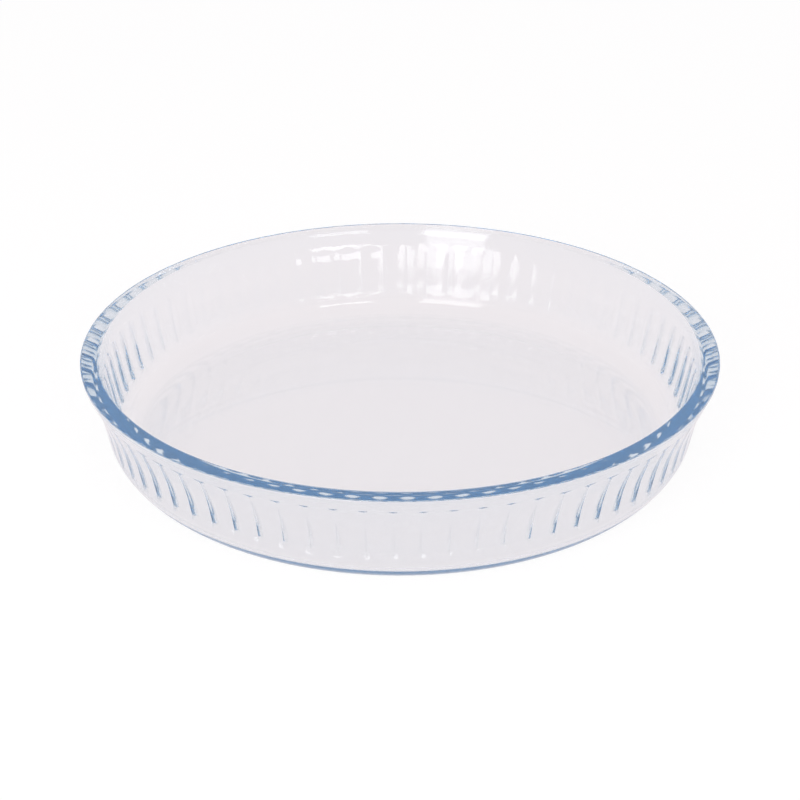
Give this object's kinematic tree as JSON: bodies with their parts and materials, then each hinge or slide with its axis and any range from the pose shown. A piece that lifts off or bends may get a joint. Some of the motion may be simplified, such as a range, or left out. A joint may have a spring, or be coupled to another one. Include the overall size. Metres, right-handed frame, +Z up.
{
  "type": "pie dish",
  "caption": "Round shallow pie dish of clear pressed glass: its wall is fluted inside, smooth outside, and flares into a plain rim above a rounded heel and a flat floor on a low foot ring.",
  "frame": {"origin": "centre of the foot ring on the surface that the dish stands on, below the middle of the floor", "axes": "+Z up along the dish's axis, -Y towards the front as seen in the picture, +X to the right"},
  "size_m": [0.28, 0.28, 0.0475],
  "materials": {
    "clear_glass": "clear fire-polished pressed glass with a faint steel-blue tint that gathers in the rim and the heel"
  },
  "bodies": {
    "root": {"pie_dish": "clear_glass"}
  },
  "joints": []
}
